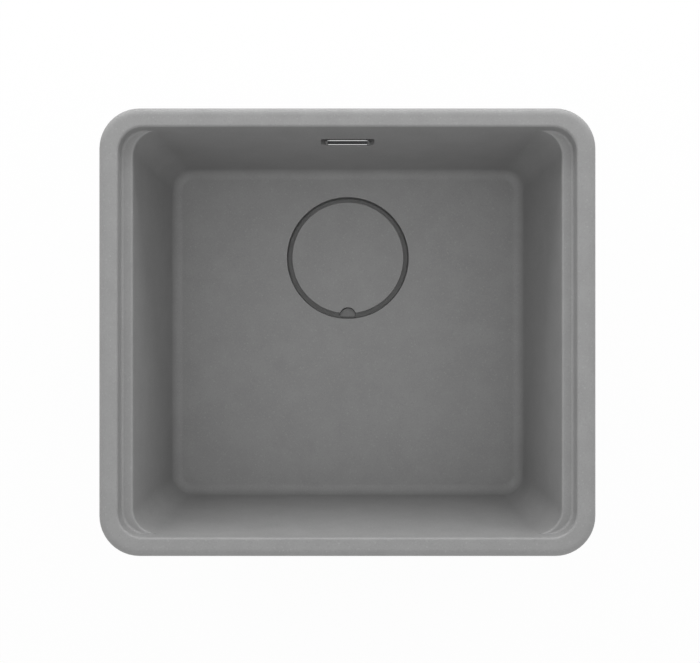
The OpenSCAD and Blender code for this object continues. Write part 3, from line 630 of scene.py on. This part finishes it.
def combine(piece, build, operation):
    """Joins or cuts the solids that build makes, one after another."""
    for number, make in enumerate(build):
        bm = bmesh.new()
        make(bm)
        bmesh.ops.recalc_face_normals(bm, faces=bm.faces)
        mesh = bpy.data.meshes.new("tool")
        bm.to_mesh(mesh)
        bm.free()
        tool = bpy.data.objects.new("tool", mesh)
        bpy.context.collection.objects.link(tool)
        step = piece.modifiers.new("step", "BOOLEAN")
        step.operation = operation
        step.solver = "EXACT"
        step.object = tool
        made = bpy.data.meshes.new_from_object(
            piece.evaluated_get(bpy.context.evaluated_depsgraph_get()))
        piece.modifiers.clear()
        old, piece.data = piece.data, made
        bpy.data.meshes.remove(old)
        bpy.data.objects.remove(tool)
        bpy.data.meshes.remove(mesh)


def skin(bm, rings):
    """Closes a list of equal rings into one skin, the last ring joined to the first."""
    made = [[bm.verts.new(co) for co in ring] for ring in rings]
    count = len(made[0])
    for a, b in zip(made, made[1:] + made[:1]):
        for i in range(count):
            j = (i + 1) % count
            bm.faces.new((a[i], a[j], b[j], b[i]))


def bowl_additions():
    """What stands out from the bowl's skin: the pad, the lug and the bosses."""

    def pad(bm):
        upright_block(bm, round_rect(*PAD_SIZE, PAD_CORNER_R), WALL_Y + WALL_T / 2, PAD_Y)

    def lug_ring(inset, z):
        r, front = LUG_R - inset, DRAIN.y - LUG_REACH + inset
        back = [(x, DRAIN.y - NOTCH_OUT + y) for x, y in arc((0, 0), r, 0, 180, 24)]
        return [(DRAIN.x + x, y, z) for x, y in [(r, front)] + back + [(-r, front)]]

    def lug(bm):
        top = Z_FLOOR - LUG_DROP
        stack(bm, [lug_ring(0, Z_RECESS - BITE), lug_ring(0, top - 0.6 * MM),
                   lug_ring(0.2 * MM, top - 0.2 * MM), lug_ring(0.6 * MM, top)])

    def boss(x, y):
        return lambda bm: turned(bm, [(0, -RIM_T / 2), (BOSS_R, -RIM_T / 2),
                                      (BOSS_R, BOSS_BEVEL - BOSS_DROP),
                                      (BOSS_R - BOSS_BEVEL, -BOSS_DROP), (0, -BOSS_DROP)], x, y)

    return [pad, lug] + [boss(x, y) for x in (-BOSS_X, BOSS_X)
                         for y in (-BOSS_GAP, 0, BOSS_GAP)]


def bowl_cuts():
    """What is cut into the bowl: the overflow's pocket, its window and the screws' holes."""
    w, top, foot = POCKET_W / 2, POCKET_TOP_R, POCKET_FOOT_R
    shape = (arc((w - foot, foot - POCKET_FOOT), foot, -90, 0, 10)
             + arc((w - top, POCKET_TOP - top), top, 0, 90, 5)
             + arc((top - w, POCKET_TOP - top), top, 90, 180, 5)
             + arc((foot - w, foot - POCKET_FOOT), foot, 180, 270, 10))

    def pocket(bm):
        upright_block(bm, shape, WALL_Y - 5 * MM, POCKET_Y)

    def window(bm):
        upright_block(bm, round_rect(*WINDOW, WINDOW_R, 3), POCKET_Y - BITE, PAD_Y + BITE)

    def pad_hole(side):
        x, r_hole, deep = PAD_HOLE
        circle = arc((side * x, 0), r_hole, 0, 345, 23)
        return lambda bm: upright_block(bm, circle, PAD_Y - deep, PAD_Y + BITE)

    def insert_hole(x, y):
        return lambda bm: turned(bm, [(0, -BOSS_DROP - BITE), (INSERT_R, -BOSS_DROP - BITE),
                                      (INSERT_R, INSERT_L - BOSS_DROP),
                                      (0, INSERT_L - BOSS_DROP)], x, y, 32)

    return ([pocket, window, pad_hole(-1), pad_hole(1)]
            + [insert_hole(x, y) for x in (-BOSS_X, BOSS_X) for y in (-BOSS_GAP, 0, BOSS_GAP)])


def bowl():
    bm = bmesh.new()
    skin(bm, bowl_rings())
    piece = finish_piece("bowl_casting", bm, "composite", "sink", ["bowl"])
    combine(piece, bowl_additions(), "UNION")
    combine(piece, bowl_cuts(), "DIFFERENCE")
    shade(piece, SHARP)
    even = piece.modifiers.new("normals", "WEIGHTED_NORMAL")
    even.keep_sharp = True


def cover_ring(inset, z):
    """The cover's outline moved in and set at height z: the disc, then round the notch."""
    r = NOTCH_CORNER_R
    reach, span = COVER_R - r, NOTCH_R + r
    y = (reach ** 2 - span ** 2 + NOTCH_OUT ** 2) / (2 * NOTCH_OUT)
    x = math.sqrt(reach ** 2 - y ** 2)
    turn = math.degrees(math.atan2(-y, x))
    rise = math.degrees(math.atan2(NOTCH_OUT - y, x))
    points = arc((0, 0), COVER_R - inset, turn, 180 - turn, 140)
    points += arc((-x, -y), r - inset, 180 - turn, 360 - rise, 8)[1:]
    points += arc((0, -NOTCH_OUT), NOTCH_R + inset, 180 - rise, rise, 28)[1:]
    points += arc((x, -y), r - inset, rise - 180, turn, 8)[1:-1]
    return [(DRAIN.x + px, DRAIN.y + py, z) for px, py in points]


def drain_cover():
    """The round cover, its edge rounded along the notch as well, with ribs and posts below."""
    z_plate = Z_FLOOR - COVER_T
    rings = [cover_ring(0.6 * MM, z_plate), cover_ring(0.18 * MM, z_plate + 0.18 * MM),
             cover_ring(0, z_plate + 0.6 * MM)]
    rings += [cover_ring(COVER_ROUND - n, z)
              for n, z in arc((0, Z_FLOOR - COVER_ROUND), COVER_ROUND, 0, 90, ROUND_STEPS)]
    bm = bmesh.new()
    stack(bm, rings)

    def rib_ring(r_out, r_in):
        return lambda bm: turned(bm, [(r_in, z_plate - RIB_H), (r_out, z_plate - RIB_H),
                                      (r_out, z_plate + BITE), (r_in, z_plate + BITE)],
                                 DRAIN.x, DRAIN.y, 96)

    def spoke(angle):
        def build(bm):
            turn = Matrix.Translation((DRAIN.x, DRAIN.y, 0)) @ Matrix.Rotation(angle, 4, "Z")
            near, far = COVER_RIBS[0][0] - RIB_T / 2, COVER_RIBS[1][0] - RIB_T / 2
            corners = [turn @ Vector((x, y, z)) for z in (z_plate - RIB_H, z_plate + BITE)
                       for x, y in ((near, -RIB_T / 2), (far, -RIB_T / 2),
                                    (far, RIB_T / 2), (near, RIB_T / 2))]
            v = [bm.verts.new(co) for co in corners]
            for face in ((0, 1, 2, 3), (4, 5, 6, 7), (0, 1, 5, 4), (1, 2, 6, 5), (2, 3, 7, 6),
                         (3, 0, 4, 7)):
                bm.faces.new([v[i] for i in face])
        return build

    def post(x, y, low):
        return lambda bm: turned(bm, [(0, low), (POST_R, low), (POST_R, z_plate + BITE),
                                      (0, z_plate + BITE)], x, y, 32)

    piece = finish_piece("drain_cover_disc", bm, "cover_composite", "cover", ["drain_cover"])
    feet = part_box("cover_feet")
    out = (feet[1].x - FOOT_R) / math.cos(DIAGONALS[0])
    additions = [rib_ring(*rib) for rib in COVER_RIBS]
    for turn in DIAGONALS:
        additions.append(spoke(turn))
    for turn in DIAGONALS:
        additions.append(post(DRAIN.x + out * math.cos(turn), DRAIN.y + out * math.sin(turn),
                              feet[1].z))
    combine(piece, additions, "UNION")
    shade(piece, SHARP)


def wall_ring(size, lift, top_r, foot_r, y, tilted):
    """A rounded rectangle on the back wall, upright or tilted as the wall is."""
    top, foot = round_rect(*size, top_r), round_rect(*size, foot_r)
    half = len(top) // 2
    return [(x, y + (z + lift) * END_LEAN * tilted, OVERFLOW_Z + z + lift)
            for x, z in top[:half] + foot[half:]]


def overflow_frame():
    """Chrome frame, flush with the wall: a thin plate with a rounded lip round the slot."""
    rings = [wall_ring(FRAME, 0, FRAME_TOP_R, FRAME_FOOT_R, POCKET_Y, False)]
    for n, depth in arc((FRAME_LIP, FRAME_LIP), FRAME_LIP, 180, 270, ROUND_STEPS):
        rings.append(wall_ring((FRAME[0] - 2 * n, FRAME[1] - 2 * n), 0, FRAME_TOP_R - n,
                               FRAME_FOOT_R - n, WALL_Y + depth, True))
    for n, depth in arc((-FRAME_LIP, FRAME_LIP), FRAME_LIP, 270, 450, 2 * ROUND_STEPS):
        rings.append(wall_ring((SLOT[0] - 2 * n, SLOT[1] - 2 * n), SLOT_LIFT, SLOT_R - n,
                               SLOT_R - n, WALL_Y + depth, True))
    inner = (FRAME[0] - 2 * FRAME_WALL, FRAME[1] - 2 * FRAME_WALL)
    top_r, foot_r = FRAME_TOP_R - FRAME_WALL, FRAME_FOOT_R - FRAME_WALL
    rings += [wall_ring(inner, 0, top_r, foot_r, WALL_Y + FRAME_PLATE, True),
              wall_ring(inner, 0, top_r, foot_r, POCKET_Y, False)]
    bm = bmesh.new()
    skin(bm, rings)
    finish_piece("overflow_frame_chrome", bm, "chrome", "sink", ["overflow_frame"])


def overflow_sleeve():
    """Plastic lining of the frame, from behind its plate through the wall."""
    inner = (SLEEVE[0] - 2 * SLEEVE_WALL, SLEEVE[1] - 2 * SLEEVE_WALL)
    end = PAD_Y - SLEEVE_SHORT
    outer_r = (SLEEVE_TOP_R, SLEEVE_FOOT_R)
    inner_r = (SLEEVE_TOP_R - SLEEVE_WALL, SLEEVE_FOOT_R - SLEEVE_WALL)
    bm = bmesh.new()
    skin(bm, [wall_ring(SLEEVE, 0, *outer_r, WALL_Y + FRAME_PLATE, True),
              wall_ring(inner, 0, *inner_r, WALL_Y + FRAME_PLATE, True),
              wall_ring(inner, 0, *inner_r, end, False),
              wall_ring(SLEEVE, 0, *outer_r, end, False)])
    finish_piece("overflow_frame_sleeve", bm, "pipe_plastic", "sink", ["overflow_frame"])


def overflow_hose():
    """Ribbed hose from the overflow down the back and round to the waste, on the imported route."""
    low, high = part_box("upper_hose_washer")
    tail_y, top_z = (low.y + high.y) / 2, low.z
    low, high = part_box("lower_hose_washer")
    inlet_z, end_y = (low.z + high.z) / 2, high.y
    drop = top_z - inlet_z - HOSE_BEND_R
    length = drop + HOSE_BEND_R * math.pi / 2 + tail_y - HOSE_BEND_R - end_y

    def ring(s, r):
        t = max(0.0, min(math.pi / 2, (s - drop) / HOSE_BEND_R))
        y = tail_y - HOSE_BEND_R * (1 - math.cos(t))
        z = inlet_z + HOSE_BEND_R * (1 - math.sin(t))
        if s < drop:
            z = top_z - s
        if t == math.pi / 2:
            y = end_y + length - s
        turns = [math.tau * i / HOSE_SIDES for i in range(HOSE_SIDES)]
        return [(r * math.cos(a), y + r * math.sin(a) * math.cos(t),
                 z - r * math.sin(a) * math.sin(t)) for a in turns]

    count = round(length / HOSE_RIB_PITCH) * RIB_STEPS
    rings = []
    for i in range(count + 1):
        rib = (0.5 - 0.5 * math.cos(math.tau * i / RIB_STEPS)) ** 0.6
        rings.append(ring(length * i / count, HOSE_R - HOSE_RIB_DEPTH * (1 - rib)))
    rings += [ring(length * i / 40, HOSE_BORE_R) for i in range(40, -1, -1)]
    bm = bmesh.new()
    skin(bm, rings)
    finish_piece("overflow_hose_ribbed", bm, "hose_plastic", "sink", ["overflow_hose"], 60)


def waste_outlet():
    """The outlet of the waste, threaded outside for a trap's slip nut."""
    low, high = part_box("waste_tail")
    x, y, r_out = (low.x + high.x) / 2, (low.y + high.y) / 2, (high.x - low.x) / 2
    length = high.z - low.z
    rows = round(length / THREAD_PITCH * THREAD_STEPS)
    rings = []
    for i in range(rows + 1):
        down = length * i / rows
        depth = THREAD_DEPTH * min(1.0, max(0.0, (down - 3 * MM) / (2 * MM)))
        lead = max(0.0, THREAD_DEPTH * (1 - (length - down) / (1.5 * MM)))
        ring = []
        for k in range(THREAD_SIDES):
            turn = k / THREAD_SIDES
            flank = abs(2 * ((down / THREAD_PITCH + turn) % 1) - 1)
            cut = depth * min(1.0, max(0.0, (flank - 0.2) / 0.65))
            r = r_out - max(cut, lead)
            ring.append((x + r * math.cos(math.tau * turn), y + r * math.sin(math.tau * turn),
                         high.z - down))
        rings.append(ring)
    bore = r_out - OUTLET_WALL
    for r, z in ((bore + 0.4 * MM, low.z), (bore, low.z + 0.4 * MM), (bore, high.z)):
        rings.append([(x + r * math.cos(math.tau * k / THREAD_SIDES),
                       y + r * math.sin(math.tau * k / THREAD_SIDES), z)
                      for k in range(THREAD_SIDES)])
    bm = bmesh.new()
    skin(bm, rings)
    finish_piece("waste_tail_threaded", bm, "pipe_plastic", "sink", ["waste_tail"], 50)


def dress(node):
    """Gives a CAD node that stays the material of its slot."""
    slots = {row["node"]: row["material_slot"] for row in frame["record"]["subparts"]}
    piece = frame["nodes"][node]
    piece.data.materials.clear()
    piece.data.materials.append(MATERIALS[slots[node]])


bowl()
drain_cover()
overflow_frame()
overflow_sleeve()
overflow_hose()
waste_outlet()
MODELLED = ("bowl", "drain_cover", "overflow_frame", "overflow_hose", "waste_tail")
for name in frame["nodes"]:
    if name not in MODELLED:
        dress(name)


# Floor, light and camera


def background_rays(nodes, links, share):
    """The share for rays from the camera, off gloss and through glass, and 0 for all others."""
    path = nodes.new("ShaderNodeLightPath")
    seen = path.outputs["Is Camera Ray"]
    for kind in ("Is Glossy Ray", "Is Transmission Ray"):
        either = nodes.new("ShaderNodeMath")
        either.operation = "MAXIMUM"
        links.new(seen, either.inputs[0])
        links.new(path.outputs[kind], either.inputs[1])
        seen = either.outputs["Value"]
    part = nodes.new("ShaderNodeMath")
    part.operation = "MULTIPLY"
    part.inputs[1].default_value = share
    links.new(seen, part.inputs[0])
    return part.outputs["Value"]


def floor():
    low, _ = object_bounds()
    bm = bmesh.new()
    bmesh.ops.create_grid(bm, x_segments=1, y_segments=1, size=FLOOR_REACH,
                          matrix=Matrix.Translation((0, 0, low.z - FLOOR_GAP)))
    mesh = bpy.data.meshes.new("floor")
    bm.to_mesh(mesh)
    bm.free()
    piece = bpy.data.objects.new("floor", mesh)
    bpy.context.collection.objects.link(piece)
    material, nodes, links, shader = new_material("floor")
    shader.inputs["Base Color"].default_value = (0.9, 0.9, 0.9, 1)
    shader.inputs["Roughness"].default_value = 0.9
    glow = nodes.new("ShaderNodeEmission")
    glow.inputs["Color"].default_value = (1, 1, 1, 1)
    blend = nodes.new("ShaderNodeMixShader")
    links.new(background_rays(nodes, links, FLOOR_SHARE), blend.inputs["Fac"])
    links.new(shader.outputs["BSDF"], blend.inputs[1])
    links.new(glow.outputs["Emission"], blend.inputs[2])
    links.new(blend.outputs["Shader"], nodes["Material Output"].inputs["Surface"])
    piece.data.materials.append(material)
    piece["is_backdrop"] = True


def world():
    made = bpy.data.worlds.new("studio")
    bpy.context.scene.world = made
    made.use_nodes = True
    nodes, links = made.node_tree.nodes, made.node_tree.links
    sky = nodes["Background"]
    sky.inputs["Color"].default_value = (1, 1, 1, 1)
    sky.inputs["Strength"].default_value = SKY_STRENGTH
    white = nodes.new("ShaderNodeBackground")
    white.inputs["Color"].default_value = (1, 1, 1, 1)
    blend = nodes.new("ShaderNodeMixShader")
    links.new(background_rays(nodes, links, 1.0), blend.inputs["Fac"])
    links.new(sky.outputs["Background"], blend.inputs[1])
    links.new(white.outputs["Background"], blend.inputs[2])
    links.new(blend.outputs["Shader"], nodes["World Output"].inputs["Surface"])


def area_light(name, place, target, size, power):
    data = bpy.data.lights.new(name, "AREA")
    data.shape = "RECTANGLE"
    data.size, data.size_y = size
    data.energy = power
    lamp = bpy.data.objects.new(name, data)
    bpy.context.collection.objects.link(lamp)
    lamp.location = place
    lamp.rotation_euler = (Vector(target) - Vector(place)).to_track_quat("-Z", "Y").to_euler()
    lamp.visible_camera = False


def camera():
    data = bpy.data.cameras.new("camera")
    data.sensor_width = SENSOR
    data.lens = PX_PER_MM_AT_RIM * CAMERA_HEIGHT / MM / PHOTO_W * SENSOR
    data.clip_start, data.clip_end = 0.05, 30
    piece = bpy.data.objects.new("camera", data)
    bpy.context.collection.objects.link(piece)
    right = (PHOTO_MID[0] - RIM_MID[0]) / PX_PER_MM_AT_RIM * MM
    back = (RIM_MID[1] - PHOTO_MID[1]) / PX_PER_MM_AT_RIM * MM
    piece.location = (right, back, CAMERA_HEIGHT)
    bpy.context.scene.camera = piece


camera()
floor()
world()
area_light("back_box", (0, 1.2, 0.29), (0, 0, 0.29), (2.5, 0.48), 16)
area_light("top_box", (0, 0, 2.0), (0, 0, 0), (1.2, 1.2), 4)
bpy.context.scene.view_settings.view_transform = "Standard"
